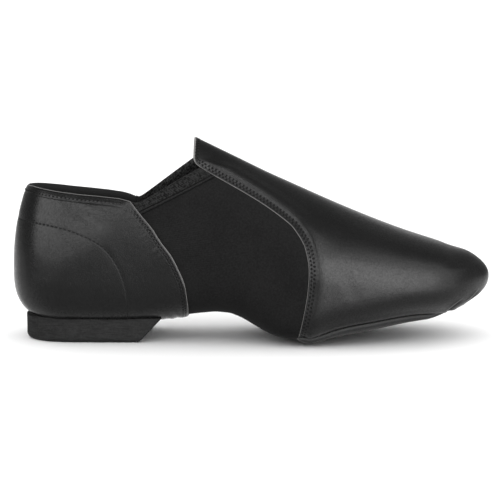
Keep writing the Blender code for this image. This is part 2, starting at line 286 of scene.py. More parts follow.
def rounded(points, per_gap):
    """A smooth open curve through the points, by Catmull-Rom."""
    points = np.array(points, float)
    first = 2 * points[0] - points[1]
    last = 2 * points[-1] - points[-2]
    points = np.concatenate([[first], points, [last]])
    found = []
    for a, b, c, d in zip(points, points[1:], points[2:], points[3:]):
        for t in np.arange(per_gap) / per_gap:
            found.append(0.5 * (2 * b + (c - a) * t + (2 * a - 5 * b + 4 * c - d) * t ** 2
                                + (3 * b - a - 3 * c + d) * t ** 3))
    found.append(points[-2])
    return np.array(found)


def lengths(points):
    """Running length along a row of points."""
    return np.concatenate([[0.0], np.cumsum(np.linalg.norm(np.diff(points, axis=0), axis=-1))])


def resampled(params, shares):
    """Params at shares of the length that they have on the form."""
    run = lengths(form(*params.T))
    return together(*(np.interp(shares * run[-1], run, values) for values in params.T))


def on_leather(params):
    """Points on the leather's face."""
    return form(*params.T) + LEATHER_FACE * form_normal(*params.T)


def nearest_distance(points, line, chunk=4000):
    """Distance from each point to a row of line points, and the nearest one's number."""
    gap = np.empty(len(points))
    near = np.empty(len(points), int)
    for start in range(0, len(points), chunk):
        part = points[start:start + chunk]
        square = ((part[:, None, :] - line[None, :, :]) ** 2).sum(-1)
        near[start:start + chunk] = square.argmin(1)
        gap[start:start + chunk] = np.sqrt(square.min(1))
    return gap, near


def measured(points, line):
    """Distance from each point to a line, and how far along the line its foot lies."""
    _, near = nearest_distance(points, line)
    length = lengths(line)
    gap = np.full(len(points), np.inf)
    run = np.zeros(len(points))
    for step in (-1, 0):
        start = np.clip(near + step, 0, len(line) - 2)
        way = line[start + 1] - line[start]
        share = ((points - line[start]) * way).sum(-1) / np.maximum((way ** 2).sum(-1), 1e-12)
        share = np.clip(share, 0, 1)
        off = np.linalg.norm(points - line[start] - share[:, None] * way, axis=-1)
        run = np.where(off < gap, length[start] + share * (length[start + 1] - length[start]), run)
        gap = np.minimum(off, gap)
    return gap, run


def eased(start, end, count):
    """Stations from start to end that draw together towards the end."""
    return start + (end - start) * np.sin(math.pi / 2 * np.arange(count + 1) / count)


def hump(value, centre, width):
    """1 at the centre, falling to about a third at the width."""
    return np.exp(-((value - centre) / width) ** 2)


def step_up(value, start, end):
    """A soft step from 0 at the start to 1 at the end."""
    share = np.clip((value - start) / (end - start), 0, 1)
    return share * share * (3 - 2 * share)


def rolled_edge(gap, depth, width, power=1.6):
    """A rim that rolls away, by the depth at its edge and by nothing at the width."""
    return -depth * np.clip(1 - gap / width, 0, 1) ** power


def add_grid(bm, across, down):
    """Adds a grid of quads. Returns its vertices with their column and row numbers."""
    verts = bmesh.ops.create_grid(bm, x_segments=across, y_segments=down, size=1)["verts"]
    flat = np.array([v.co[:2] for v in verts])
    i = np.rint((flat[:, 0] + 1) / 2 * across).astype(int)
    j = np.rint((flat[:, 1] + 1) / 2 * down).astype(int)
    return verts, i, j


def place(verts, points):
    for vert, point in zip(verts, points * MM):
        vert.co = point


def closed_up(bm):
    """Merges doubled points, drops faces that closed to nothing, and turns every face outwards."""
    bmesh.ops.remove_doubles(bm, verts=bm.verts, dist=MERGE)
    bmesh.ops.dissolve_degenerate(bm, edges=bm.edges, dist=1e-7)
    bmesh.ops.recalc_face_normals(bm, faces=bm.faces)
    bm.normal_update()
    middle = Vector((0, SPINE_Y, SPINE_Z)) * MM
    outward = 0.0
    for face in bm.faces:
        centre = face.calc_center_median()
        middle.x = min(max(centre.x, HEEL_AXIS * MM), SPINE_FRONT * MM)
        outward += face.normal.dot(centre - middle) * face.calc_area()
    if outward < 0:
        bmesh.ops.reverse_faces(bm, faces=bm.faces)
        bm.normal_update()


def points_of(bm):
    return np.array([v.co for v in bm.verts]) / MM


def push(bm, distance):
    """Moves every point along its normal, by one distance or by one each."""
    distance = np.broadcast_to(distance, len(bm.verts)) * MM
    moved = [v.co + v.normal * d for v, d in zip(bm.verts, distance)]
    for vert, co in zip(bm.verts, moved):
        vert.co = co
    bm.normal_update()


def note(bm, **measures):
    """Keeps measures of every point, for the finishes to read."""
    for name, values in measures.items():
        layer = bm.verts.layers.float.new(name)
        for vert, value in zip(bm.verts, values):
            vert[layer] = value


def finished(name, bm, *finishes, smooth=True):
    mesh = bpy.data.meshes.new(name)
    bm.to_mesh(mesh)
    bm.free()
    for finish in finishes:
        mesh.materials.append(finish)
    if smooth:
        mesh.shade_smooth()
    piece = bpy.data.objects.new(name, mesh)
    bpy.context.scene.collection.objects.link(piece)
    return piece


def wall(piece, thickness, inner=0, rim=0):
    """Gives a sheet its thickness, inwards."""
    modifier = piece.modifiers.new("wall", "SOLIDIFY")
    modifier.thickness = thickness * MM
    modifier.offset = -1
    modifier.use_quality_normals = True
    modifier.material_offset = inner
    modifier.material_offset_rim = rim


class Value:
    """A node's output. Arithmetic on it adds Math nodes to the same material."""

    def __init__(self, finish, socket):
        self.finish = finish
        self.socket = socket

    def math(self, operation, first, second):
        return self.finish.node("ShaderNodeMath", {"operation": operation}, {0: first, 1: second})

    def __add__(self, other):
        return self.math("ADD", self, other)

    def __radd__(self, other):
        return self.math("ADD", other, self)

    def __sub__(self, other):
        return self.math("SUBTRACT", self, other)

    def __rsub__(self, other):
        return self.math("SUBTRACT", other, self)

    def __mul__(self, other):
        return self.math("MULTIPLY", self, other)

    def __rmul__(self, other):
        return self.math("MULTIPLY", other, self)


class Finish:
    """The nodes of a material or a world, written as expressions that feed its shader."""

    def __init__(self, owner, shader="Principled BSDF"):
        owner.use_nodes = True
        self.owner = owner
        self.tree = owner.node_tree
        self.shader = self.tree.nodes[shader]

    def node(self, kind, settings=None, sockets=None, output=0):
        made = self.tree.nodes.new(kind)
        for name, value in (settings or {}).items():
            setattr(made, name, value)
        for name, value in (sockets or {}).items():
            self.feed(made.inputs[name], value)
        return Value(self, made.outputs[output])

    def feed(self, socket, value):
        if isinstance(value, Value):
            self.tree.links.new(value.socket, socket)
        else:
            socket.default_value = value

    def set(self, **values):
        for name, value in values.items():
            self.feed(self.shader.inputs[name.replace("_", " ")], value)

    def object_place(self):
        return self.node("ShaderNodeTexCoord", output="Object")

    def split(self, place):
        """The three parts of a vector."""
        first = self.node("ShaderNodeSeparateXYZ", None, {"Vector": place})
        return [Value(self, socket) for socket in first.socket.node.outputs]

    def surface_place(self):
        """Millimetres along and across the piece, from its own map."""
        return self.split(self.node("ShaderNodeUVMap", {"uv_map": "weave"}))[:2]

    def measure(self, name):
        return self.node("ShaderNodeAttribute", {"attribute_name": name}, output="Fac")

    def noise(self, place, scale, detail=3.0, roughness=0.55):
        sockets = {"Vector": place, "Scale": scale, "Detail": detail, "Roughness": roughness}
        return self.node("ShaderNodeTexNoise", None, sockets)

    def cells(self, place, scale):
        settings = {"feature": "DISTANCE_TO_EDGE"}
        return self.node("ShaderNodeTexVoronoi", settings, {"Vector": place, "Scale": scale}, "Distance")

    def ramp(self, value, low, high, start=0.0, end=1.0):
        sockets = {"Value": value, "From Min": low, "From Max": high, "To Min": start, "To Max": end}
        return self.node("ShaderNodeMapRange", {"interpolation_type": "SMOOTHSTEP"}, sockets)

    def wave(self, value, period, shift=0.0):
        """Runs from 0 to 1 and back once a period, and is at 1 where the shift, in periods, says."""
        angle = (value * (1 / period) - shift) * (2 * math.pi)
        return 0.5 + 0.5 * self.node("ShaderNodeMath", {"operation": "COSINE"}, {0: angle})

    def near(self, value, centre, reach):
        """1 at the centre, falling softly to 0 at the reach."""
        off = self.node("ShaderNodeMath", {"operation": "ABSOLUTE"}, {0: value - centre})
        return self.ramp(off, reach, 0.1 * reach)

    def mixed(self, share, first, second):
        return self.node("ShaderNodeMix", {"data_type": "RGBA"}, {0: share, 6: first, 7: second}, 2)

    def bump(self, height, distance, strength):
        sockets = {"Height": height, "Distance": distance * MM, "Strength": strength}
        return self.node("ShaderNodeBump", None, sockets)


def grey(value, warm=0.0):
    return (value * (1 + warm), value, value * (1 - warm), 1.0)


def new_finish(name):
    return Finish(bpy.data.materials.new(name))


def complete(finish, colour, roughness, ior, relief, depth, strength=0.7):
    """Sets what most finishes have: colour, roughness, and a relief with its depth in millimetres."""
    finish.set(Base_Color=colour, Roughness=roughness, IOR=ior)
    finish.set(Normal=finish.bump(relief, depth, strength))
    return finish.owner


def stitch_holes(finish, inset, shift, only=None):
    """A row of stitches drawn into the leather: how deep it is, and where a stitch leaves it dulled and
    darkened with painted shade.
    """
    beside = finish.near(finish.measure("edge"), inset, 0.7)
    if only:
        beside = beside * finish.measure(only)
    under = beside * finish.ramp(finish.wave(finish.measure("run"), STITCH_PITCH, shift + 0.5), 0.3, 0.7)
    return 0.2 * beside + 0.8 * under, under


def counter_press(finish):
    """The dashed line pressed round the heel counter, which fades out towards the bottom, its dashes in
    painted shade.
    """
    run = finish.measure("counter_run")
    dash = finish.ramp(finish.wave(run, COUNTER_PITCH), 0.15, 0.5)
    fade = finish.ramp(run, 66.0, 92.0, 1.0, 0.6)
    pressed = finish.near(finish.measure("counter"), 0.0, 0.7) * (0.3 + 0.7 * dash) * fade
    return -2.5 * pressed, pressed


def toe_pleats(finish):
    """The lasting pleats under the toe: each is a lip with a hollow ahead of it, dulled and darkened with
    painted shade.
    """
    relief, dull_and_shaded = 0.0, 0.0
    for k in range(len(TOE_PLEATS)):
        ahead = finish.measure(f"pleat_{k}")
        fade = finish.measure(f"pleat_fade_{k}")
        hollow = fade * finish.ramp(ahead, -0.3, 0.3) * finish.ramp(ahead, 4.5, 0.6)
        lip = fade * finish.near(ahead, -0.7, 0.9)
        relief = relief + 2.0 * lip - 2.5 * hollow
        dull_and_shaded = dull_and_shaded + hollow
    return relief, dull_and_shaded


def leather_finish(name, rows, folds, waviness, grain, roughness):
    """Smooth leather with a raw cut edge, rows of stitches and pressed or folded lines of its own.

    Grain is the scale of the gloss's mottling, and how soft it is.
    """
    finish = new_finish(name)
    place = finish.object_place()
    pores = finish.ramp(finish.cells(place, 1100.0), 0.0, 0.22)
    fine = finish.noise(place, 1250.0, 2.0)
    broad = finish.noise(place, 130.0)
    mottle = finish.noise(place, 28.0)
    # On the tab, above 92 mm, the band is widened as a painted highlight.
    # The band along the cut edge is painted pale, partly the cut edge's own colour and partly a painted
    # highlight on its rim.
    tab = finish.ramp(finish.split(place)[2], 0.092, 0.096)
    raw = finish.ramp(finish.measure("edge") - 0.7 * tab, 0.42, 0.15)
    roll = finish.noise(place, 42.0, 2.0)
    fold_relief, dull_and_shaded = folds(finish)
    relief = 0.5 * pores + 0.6 * fine + waviness * (broad + 2.5 * roll) + fold_relief
    for row in rows:
        pressed, hole = stitch_holes(finish, *row)
        relief = relief - 1.6 * pressed
        dull_and_shaded = dull_and_shaded + hole
    # Painted shade: where stitch holes, pressed dashes and pleat hollows fall, the leather is painted near
    # black as well as dulled.
    body = finish.mixed(dull_and_shaded, finish.mixed(mottle, grey(0.004), grey(0.007)), grey(0.001))
    scale, amount = grain
    gloss = finish.ramp(finish.noise(place, scale), 0.5 - amount, 0.5 + amount)
    finish.set(Coat_IOR=1.16, Coat_Roughness=roughness, Coat_Weight=gloss * (1.0 - raw) * (1.0 - dull_and_shaded))
    uneven = roughness + 0.08 * mottle + 0.05 * fine + 0.35 * raw + 0.5 * dull_and_shaded
    # Painted highlight together with the cut edge's own colour: the pale band along the edge.
    return complete(finish, finish.mixed(raw, body, grey(0.17, 0.02)), uneven, 1.19, relief, 0.05, 0.8)


def raw_edge_finish():
    finish = new_finish("raw leather edge")
    fibre = finish.noise(finish.object_place(), 900.0, 4.0)
    colour = finish.mixed(fibre, grey(0.05, 0.02), grey(0.11, 0.02))
    return complete(finish, colour, 0.75, 1.3, fibre, 0.08, 0.6)


def stretch_finish():
    finish = new_finish("matte stretch knit")
    along, across = finish.surface_place()
    wales = finish.wave(along, 0.55)
    courses = finish.wave(across, 0.45)
    stray = finish.noise(finish.object_place(), 1100.0)
    cloud = finish.noise(finish.object_place(), 45.0)
    tone = finish.ramp(0.35 * cloud + 0.65 * stray, 0.3, 0.7)
    colour = finish.mixed(tone, grey(0.004), grey(0.0105))
    finish.set(Sheen_Weight=0.01, Sheen_Roughness=0.45)
    relief = wales + 0.7 * courses + 0.9 * stray
    return complete(finish, colour, 0.82 + 0.12 * stray, 1.13, relief, 0.05, 0.6)


def elastic_finish():
    """Knitted elastic: a speckle of loops, with a turned hem along the lower edge."""
    finish = new_finish("ribbed elastic")
    along, across = finish.surface_place()
    ribs = finish.wave(across, 1.05)
    picks = finish.wave(along, 1.15)
    loops = finish.noise(finish.object_place(), 900.0)
    tone = finish.ramp(loops + 0.07 * ribs + 0.07 * picks, 0.41, 0.73)
    hem = finish.near(across, HEM_HEIGHT / 2, HEM_HEIGHT / 2)
    # Painted shade: the hem's furrow and the band's lower edge are painted near black.
    furrow_shade = finish.near(across, HEM_FURROW, 0.55) + finish.near(across, 0.0, 0.35)
    # Painted light: the rows turned inside the shoe are painted lighter, standing in for light that does not
    # reach them.
    inner = finish.ramp(across, 9.5, 12.5)
    loop = finish.mixed(inner, grey(0.020), grey(0.045))
    body = finish.mixed(tone, finish.mixed(inner, grey(0.001), grey(0.006)), loop)
    body = finish.mixed(hem * 0.7, body, grey(0.011))
    colour = finish.mixed(furrow_shade, body, grey(0.001))
    finish.set(Sheen_Weight=0.01, Sheen_Roughness=0.45)
    relief = 0.7 * ribs + 0.6 * picks + 1.6 * loops
    return complete(finish, colour, 0.72 + 0.15 * loops, 1.12, relief, 0.09, 0.8)


def lining_finish():
    finish = new_finish("black lining cloth")
    thread = finish.noise(finish.object_place(), 1300.0)
    return complete(finish, finish.mixed(thread, grey(0.006), grey(0.014)), 0.88, 1.2, thread, 0.06)


def insole_finish():
    finish = new_finish("black suede insole")
    nap = finish.noise(finish.object_place(), 800.0, 4.0)
    wear = finish.noise(finish.object_place(), 40.0)
    colour = finish.mixed(0.5 * nap + 0.5 * wear, grey(0.012), grey(0.03))
    return complete(finish, colour, 0.92, 1.2, nap, 0.1)


def sole_finish():
    finish = new_finish("black split-leather sole")
    nap = finish.noise(finish.object_place(), 950.0, 4.0)
    patch = finish.noise(finish.object_place(), 90.0)
    # Painted highlight: the sole is painted lighter towards its rolled rim, where the lip would catch the
    # light.
    lip = finish.ramp(finish.measure("edge"), 1.6, 0.5)
    body = finish.mixed(finish.ramp(0.7 * nap + 0.3 * patch, 0.32, 0.68), grey(0.006), grey(0.026))
    colour = finish.mixed(lip * 0.5, body, grey(0.06))
    return complete(finish, colour, 0.70 + 0.2 * nap, 1.25, nap + 0.6 * patch, 0.12)


def heel_finish():
    """Rubber with a speckle that is drawn out along the heel."""
    finish = new_finish("black moulded rubber")
    place = finish.object_place()
    flattened = {0: place, 1: (0.12, 0.12, 1.0)}
    drawn_out = finish.node("ShaderNodeVectorMath", {"operation": "MULTIPLY"}, flattened)
    speck = 0.45 * finish.noise(place, 900.0, 4.0, 0.7) + 0.55 * finish.noise(drawn_out, 1500.0)
    patch = finish.noise(place, 120.0)
    colour = finish.mixed(finish.ramp(speck, 0.38, 0.62), grey(0.006), grey(0.018))
    return complete(finish, colour, 0.62 + 0.22 * patch, 1.18, speck + 0.4 * patch, 0.14, 0.8)


def thread_finish():
    finish = new_finish("waxed black thread")
    twist = finish.noise(finish.object_place(), 2600.0, 2.0)
    colour = finish.mixed(twist, grey(0.002), grey(0.006))
    finish.set(Base_Color=colour, Roughness=0.7 + 0.2 * twist, IOR=1.12)
    return finish.owner


def floor_finish():
    finish = new_finish("white paper sweep")
    cloud = finish.noise(finish.object_place(), 3.0, 2.0)
    colour = finish.mixed(cloud, grey(0.88), grey(0.90))
    finish.set(Base_Color=colour, Roughness=0.9, Specular_IOR_Level=0.1)
    return finish.owner


VAMP_STITCHING = [(inset, 0.5 * k) for k, inset in enumerate(VAMP_ROWS)]
FRONT_STITCHING = [(inset, 0.5 * k, "on_front") for k, inset in enumerate(FRONT_ROWS)]
QUARTER_STITCHING = [(COLLAR_ROW, 0.0, "on_collar"), *FRONT_STITCHING]
VAMP_LOOK = leather_finish("black vamp leather", VAMP_STITCHING, toe_pleats, 2.4, (1300.0, 0.25), 0.29)
QUARTER_LOOK = leather_finish(
    "black quarter leather", QUARTER_STITCHING, counter_press, 3.0, (1000.0, 0.3), 0.2)
RAW_EDGE_LOOK = raw_edge_finish()
STRETCH_LOOK = stretch_finish()
ELASTIC_LOOK = elastic_finish()
LINING_LOOK = lining_finish()
INSOLE_LOOK = insole_finish()
SOLE_LOOK = sole_finish()
HEEL_LOOK = heel_finish()
THREAD_LOOK = thread_finish()


def weave_map(bm, verts, u, v):
    """A map in millimetres, for cloth whose pattern follows the piece."""
    layer = bm.loops.layers.uv.new("weave")
    place_of = {vert: (a, b) for vert, a, b in zip(verts, u, v)}
    for face in bm.faces:
        for loop in face.loops:
            loop[layer].uv = place_of[loop.vert]


def panel_edge(profile, bottom, side):
    """A leather panel's edge on one side: down its profile, and then under the shoe to the middle."""
    params = profile_turn(rounded(profile, 6), side)
    under = side * np.linspace(abs(params[-1, 1]), 1.0, 13)[1:]
    return np.concatenate([params, together(bottom, under)])


# Points that an edge is measured with, on each of its stretches.
EDGE_POINTS = 420

# The vamp

VAMP_NEAR = np.array([0, 0.15, 0.3, 0.5, 0.75, 1.0, 1.3, 1.65, 2.0, 2.4, 2.8, 3.2, 3.7, 4.2, 4.8, 5.4, 6.0,
                      6.6, 7.2, 7.8, 8.5, 9.2, 10.0, 11.0, 12.0, 13.2, 14.5])
VAMP_FAR_ROWS = 92
# The way along the vamp is x up to the bend, and then an arc that reaches the toe's tip at the end.
TOE_BEND = 97.0
TOE_END = TOE_BEND + (TOE_TIP - TOE_BEND) * math.pi / 2
# Stretches of the edge from the bottom up to the tab: its end on the edge as a share of the whole, the
# columns in it, and where the last of them runs to, as a way along and a turn.
VAMP_FANS = (
    (0.26, 24, (TOE_END, 0.72)),
    (0.46, 30, (TOE_END, 0.34)),
    (0.54, 24, (TOE_END, 0.0)),
    (0.62, 30, (62.0, 0.0)),
    (0.94, 52, (-18.0, 0.0)),
    (1.00, 18, (TAB_BACK, 0.0)),
)


def toe_along(way):
    """The form's along for a way along the vamp."""
    reach = TOE_TIP - TOE_BEND
    angle = np.clip((way - TOE_BEND) / reach, 0, math.pi / 2)
    return np.where(way > TOE_BEND, TOE_BEND + reach * np.sin(angle), way)


def vamp_edge(side):
    """The vamp's edge on one side, from the bottom centre up to the tab's corner."""
    return panel_edge(VAMP_EDGE, VAMP_BOTTOM, side)[::-1]


def vamp_columns(side):
    """Where each column starts on the edge, and where it runs to."""
    shares = [np.zeros(1)]
    ends = [np.array([[TOE_END, side]])]
    for share, count, (way, turn) in VAMP_FANS:
        steps = np.arange(1, count + 1) / count
        first = ends[-1][-1]
        last = np.array([way, side * turn])
        shares.append(shares[-1][-1] + (share - shares[-1][-1]) * steps)
        ends.append(first + (last - first) * steps[:, None])
    return resampled(vamp_edge(side), np.concatenate(shares)), np.concatenate(ends)


def vamp_rows(reach):
    """Shares along columns of the given reach: rows by distance near the edge, then evenly."""
    near_end = np.minimum(VAMP_NEAR[-1], 0.4 * reach)
    near = VAMP_NEAR[None, :] / VAMP_NEAR[-1] * (near_end / reach)[:, None]
    even = np.arange(1, VAMP_FAR_ROWS + 1) / VAMP_FAR_ROWS
    far = near[:, -1:] + (1 - near[:, -1:]) * even[None, :]
    return np.concatenate([near, far], axis=1)


def pleat_measures(points, line):
    """Signed distance ahead of a pleat's line, and how strong the pleat is there."""
    curve = rounded(line, 12)
    gap, near = nearest_distance(points[:, [0, 2]], curve)
    way = np.gradient(curve, axis=0)[near]
    offset = points[:, [0, 2]] - curve[near]
    ahead = np.sign(way[:, 1] * offset[:, 0] - way[:, 0] * offset[:, 1]) * gap
    last = len(curve) - 1
    return ahead, np.sin(near / last * math.pi).clip(0)


def seam_height(points):
    """Signed distance of points above the line where the sole's edge meets the leather."""
    curve = rounded(SOLE_OUTLINE, 8)
    stations = np.linspace(curve[0, 0], curve[-1, 0] - 0.2, 160)
    sides = [bottom_turns(curve, stations, side) for side in (OUTER, INNER)]
    line = np.concatenate([on_leather(together(stations, turn)) for turn in sides])
    gap, near = nearest_distance(points, line)
    offset = points - line[near]
    side = np.where(near < len(stations), OUTER, INNER)
    return np.sign(offset[:, 2] + 0.5 * side * offset[:, 1] + 0.5 * offset[:, 0]) * gap


def vamp_relief(points, gap, pleats):
    """Height of the leather over its own form."""
    x, z = points[:, 0], points[:, 2]
    upright = step_up(-z, -62.0, -48.0)
    sides = 1 - step_up(z, 89.0, 95.0)
    rolled = rolled_edge(gap, 0.45, 0.6)
    rows = -0.05 * sum(hump(gap, inset, 0.4) for inset in VAMP_ROWS)
    stepped = -sides * (1 - step_up(gap, 2.6, 5.4))
    swell = (1.2 - 0.85 * upright) * sides * hump(gap, 7.2, 4.2)
    puffed = 0.6 * hump(seam_height(points), 1.8, 2.0) * step_up(gap, 1.0, 6.0)
    blunted = hump(x, 126.0, 5.0) * hump(z, 33.0, 8.0)
    flattened = -0.8 * hump(x, 108.0, 6.5) * step_up(z, 38.0, 42.0)
    dented = -0.26 * hump(x + 0.35 * (z - 35.0), 48.5, 4.2) * hump(z, 36.0, 9.0)
    swollen = 0.35 * hump(x, 77.0, 15.0) * hump(z, 30.0, 7.0)
    relief = rolled + rows + stepped + swell + puffed + blunted + flattened + dented + swollen
    for ahead, fade in pleats:
        lip = 0.35 * hump(ahead, -0.8, 0.9)
        hollow = -0.85 * step_up(ahead, -0.4, 0.5) * (1 - step_up(ahead, 0.8, 5.0))
        relief = relief + fade * (lip + hollow)
    return relief


def build_vamp():
    bm = bmesh.new()
    for side in (OUTER, INNER):
        starts, ends = vamp_columns(side)
        last = form(toe_along(ends[:, 0]), ends[:, 1])
        reach = np.linalg.norm(form(*starts.T) - last, axis=-1)
        rows = vamp_rows(np.maximum(reach, 0.5))
        verts, i, j = add_grid(bm, len(starts) - 1, rows.shape[1] - 1)
        share = rows[i, j][:, None]
        params = starts[i] * (1 - share) + ends[i] * share
        place(verts, form(toe_along(params[:, 0]), params[:, 1]))
    closed_up(bm)
    push(bm, LEATHER_FACE)
    even = np.linspace(0, 1, EDGE_POINTS)
    outer, inner = (resampled(vamp_edge(side), even) for side in (OUTER, INNER))
    tab = together(TAB_BACK, np.linspace(outer[-1, 1], inner[-1, 1], 80))
    line = on_leather(np.concatenate([outer, tab[1:-1], inner[::-1]]))
    points = points_of(bm)
    gap, run = measured(points, line)
    pleats = [pleat_measures(points, pleat) for pleat in TOE_PLEATS]
    push(bm, vamp_relief(points, gap, pleats))
    note(bm, edge=gap, run=run)
    for k, (ahead, fade) in enumerate(pleats):
        note(bm, **{f"pleat_{k}": ahead, f"pleat_fade_{k}": fade})
    tree = BVHTree.FromBMesh(bm)
    piece = finished("vamp_leather", bm, VAMP_LOOK, RAW_EDGE_LOOK)
    wall(piece, LEATHER, rim=1)
    return piece, tree, line


# The heel quarter

QUARTER_NEAR = np.array([0, 0.15, 0.3, 0.5, 0.75, 1.0, 1.4, 1.8, 2.2, 2.6, 2.9, 3.2, 3.5, 3.75, 4.0, 4.25,
                         4.55, 5.0, 5.6, 6.4, 7.4, 8.6, 10.0])
QUARTER_FAR_COLUMNS = 96
QUARTER_FAR_ROWS = 92


def quarter_front(side):
    """The quarter's front edge on one side, from its top corner to the bottom centre."""
    return panel_edge((QUARTER_CORNER[side], *QUARTER_EDGE), QUARTER_BOTTOM, side)


def quarter_collar(side):
    along = np.linspace(QUARTER_CORNER[side][0], BACK_END, 160)
    return together(along, collar_turn(along, side))


def graded_shares(params, far_count):
    """Shares of an edge's length: by distance near its start, and then evenly."""
    run = lengths(form(*params.T))[-1]
    near_end = QUARTER_NEAR[-1]
    far = near_end + (run - near_end) * np.arange(1, far_count + 1) / far_count
    return np.concatenate([QUARTER_NEAR, far]) / run


def build_quarter():
    bm = bmesh.new()
    # Both sides have the same shares, so that they meet point to point along the middle.
    u = graded_shares(quarter_collar(OUTER), QUARTER_FAR_COLUMNS)
    v = graded_shares(quarter_front(OUTER), QUARTER_FAR_ROWS)
    for side in (OUTER, INNER):
        front = resampled(quarter_front(side), v)
        collar = resampled(quarter_collar(side), u)
        below = together(QUARTER_BOTTOM + (BACK_END - QUARTER_BOTTOM) * u, side)
        back_top = collar[-1, 1]
        back = together(BACK_END, back_top + (side - back_top) * v)
        verts, i, j = add_grid(bm, len(u) - 1, len(v) - 1)
        s, t = u[i][:, None], v[j][:, None]
        ruled = (1 - t) * collar[i] + t * below[i] + (1 - s) * front[j] + s * back[j]
        top_corners = (1 - s) * collar[0] + s * collar[-1]
        low_corners = (1 - s) * below[0] + s * below[-1]
        params = ruled - (1 - t) * top_corners - t * low_corners
        place(verts, form(*params.T))
    closed_up(bm)
    push(bm, LEATHER_FACE)
    points = points_of(bm)
    edges = []
    for side in (OUTER, INNER):
        front = resampled(quarter_front(side), np.linspace(0, 1, EDGE_POINTS))
        collar = resampled(quarter_collar(side), np.linspace(0, 0.995, EDGE_POINTS))
        edges.append(np.concatenate([front[::-1], collar[1:]]))
    line = on_leather(np.concatenate([edges[0], edges[1][::-1][1:]]))
    gap, run = measured(points, line)
    from_corner, on_front, on_collar = front_and_collar(line, run)
    groove, groove_run = counter_measures(points)
    push(bm, quarter_relief(points, gap, run, groove, groove_run, from_corner, on_front, on_collar))
    note(bm, edge=gap, run=run, on_front=on_front, on_collar=on_collar)
    note(bm, counter=groove, counter_run=groove_run)
    tree = BVHTree.FromBMesh(bm)
    piece = finished("quarter_leather", bm, QUARTER_LOOK, RAW_EDGE_LOOK)
    wall(piece, LEATHER, rim=1)
    return piece, tree, line


def front_and_collar(line, run):
    """For places along the edge: the way to the nearer top corner, and how far each is front or collar."""
    length = lengths(line)
    first, second = length[EDGE_POINTS - 1], length[-EDGE_POINTS]
    from_corner = np.minimum(np.abs(run - first), np.abs(run - second))
    front = (run < first) | (run > second)
    clear = step_up(from_corner, 0.5, 5.0)
    return from_corner, front * clear, ~front * clear


def counter_measures(points):
    """Signed distance from the counter's line, and the way along it from the back of the heel."""
    signed = np.zeros(len(points))
    run = np.zeros(len(points))
    for side in (OUTER, INNER):
        along = np.linspace(BACK_END + 0.4, HEEL_AXIS - 1.0, 60)
        back = np.array(((-125.0, COUNTER_BACK_Z), *COUNTER_LINE[:3]))
        turn = turn_where(along, side, lambda p: p[..., 2] - spline(*back.T, p[..., 0]))
        low = profile_turn(rounded(COUNTER_LINE, 10), side)
        params = np.concatenate([together(along, turn), low[low[:, 0] > HEEL_AXIS - 0.5]])
        params = resampled(params, np.linspace(0, 1, 300))
        curve = on_leather(params)
        across = np.cross(form_normal(*params.T), np.gradient(curve, axis=0))
        mine = points[:, 1] * side >= 0
        gap, way = measured(points[mine], curve)
        _, near = nearest_distance(points[mine], curve)
        beyond = ((points[mine] - curve[near]) * across[near]).sum(1)
        signed[mine] = np.sign(beyond) * gap
        run[mine] = way
    return signed, run


def quarter_relief(points, gap, run, groove, groove_run, from_corner, on_front, on_collar):
    """Height of the leather over its own form."""
    x, y, z = points.T
    rolled = rolled_edge(gap, 0.50, 0.75)
    leaning = -0.20 * on_collar * np.clip(2.9 - gap, 0, 2.9)
    channel = -0.20 * on_collar * hump(gap, 4.0, 0.42)
    pucker = hump(from_corner, 17.0, 15.0) * on_front
    tugs = np.sin(run * 2 * math.pi / 3.1) + np.sin(run * 2 * math.pi / 4.3 + 1.0)
    tugs = 0.06 * pucker * tugs * hump(gap, 4.6, 1.7)
    fade = 1 - 0.65 * step_up(groove_run, 62.0, 85.0)
    pressed = -0.14 * fade * hump(groove, 0.0, 1.4)
    back_seam = -0.25 * hump(y, 0.0, 0.6) * step_up(-x, 100.0, 112.0)
    low_folds = 0.22 * np.sin((x + 0.5 * z) * 2 * math.pi / 5.2)
    low_folds = low_folds * hump(x, -41.0, 7.0) * hump(z, 13.0, 4.0)
    bulge = 1.2 * hump(x - 0.8 * (z - 62.0), -70.0, 23.0) * (1 - step_up(-z, -34.0, -18.0))
    from_fold = (z - 66.3) + 0.6 * (x + 84.5)
    fold = 0.25 * hump(from_fold, 5.5, 3.5) - 0.45 * hump(from_fold, 0.0, 3.5)
    fold = fold * hump(x - 1.6 * z, -189.0, 14.0)
    return rolled + leaning + channel + tugs + pressed + back_seam + low_folds + bulge + fold


# The stretch upper with its lining

COLLAR_BAND_ROWS = 6
SIDE_ROWS = 46
UPPER_TAB_BACK = -26.6
LINING_RISE = 0.4
NOTCH_BACK = -64.0
NOTCH_FRONT = -54.0
HEEL_STATIONS = np.linspace(BACK_END, HEEL_AXIS, 25)[:-1]
# The knit's map has this many millimetres from the ridge to the bottom.
WEAVE_HEIGHT = 90.0


